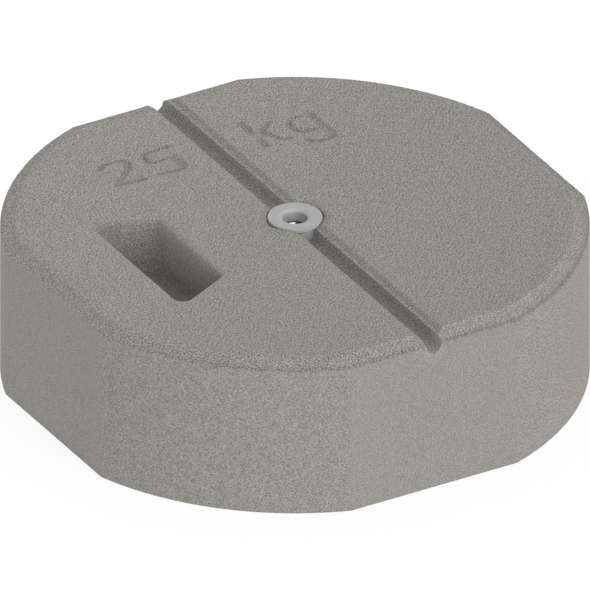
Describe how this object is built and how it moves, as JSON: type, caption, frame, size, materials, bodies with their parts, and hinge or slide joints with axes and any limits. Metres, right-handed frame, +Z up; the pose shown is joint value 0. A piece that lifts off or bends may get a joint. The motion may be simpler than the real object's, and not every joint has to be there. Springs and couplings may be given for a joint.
{
  "type": "concrete umbrella base",
  "caption": "Round cast concrete weight with flat sides, a groove across its top, a tapered hand pocket and a plastic bush at the centre.",
  "frame": {"origin": "centre of the underside", "axes": "+Z up, +Y along the groove, -X towards the hand pocket"},
  "size_m": [0.3518, 0.3518, 0.1096],
  "materials": {
    "concrete": "fine sandy cast face, smoother on the side walls",
    "bush_plastic": "smooth moulded satin",
    "plated_steel": "bright zinc plate"
  },
  "bodies": {
    "root": {"concrete_weight": "concrete", "centre_bush": "bush_plastic", "threaded_socket": "plated_steel"}
  },
  "joints": []
}
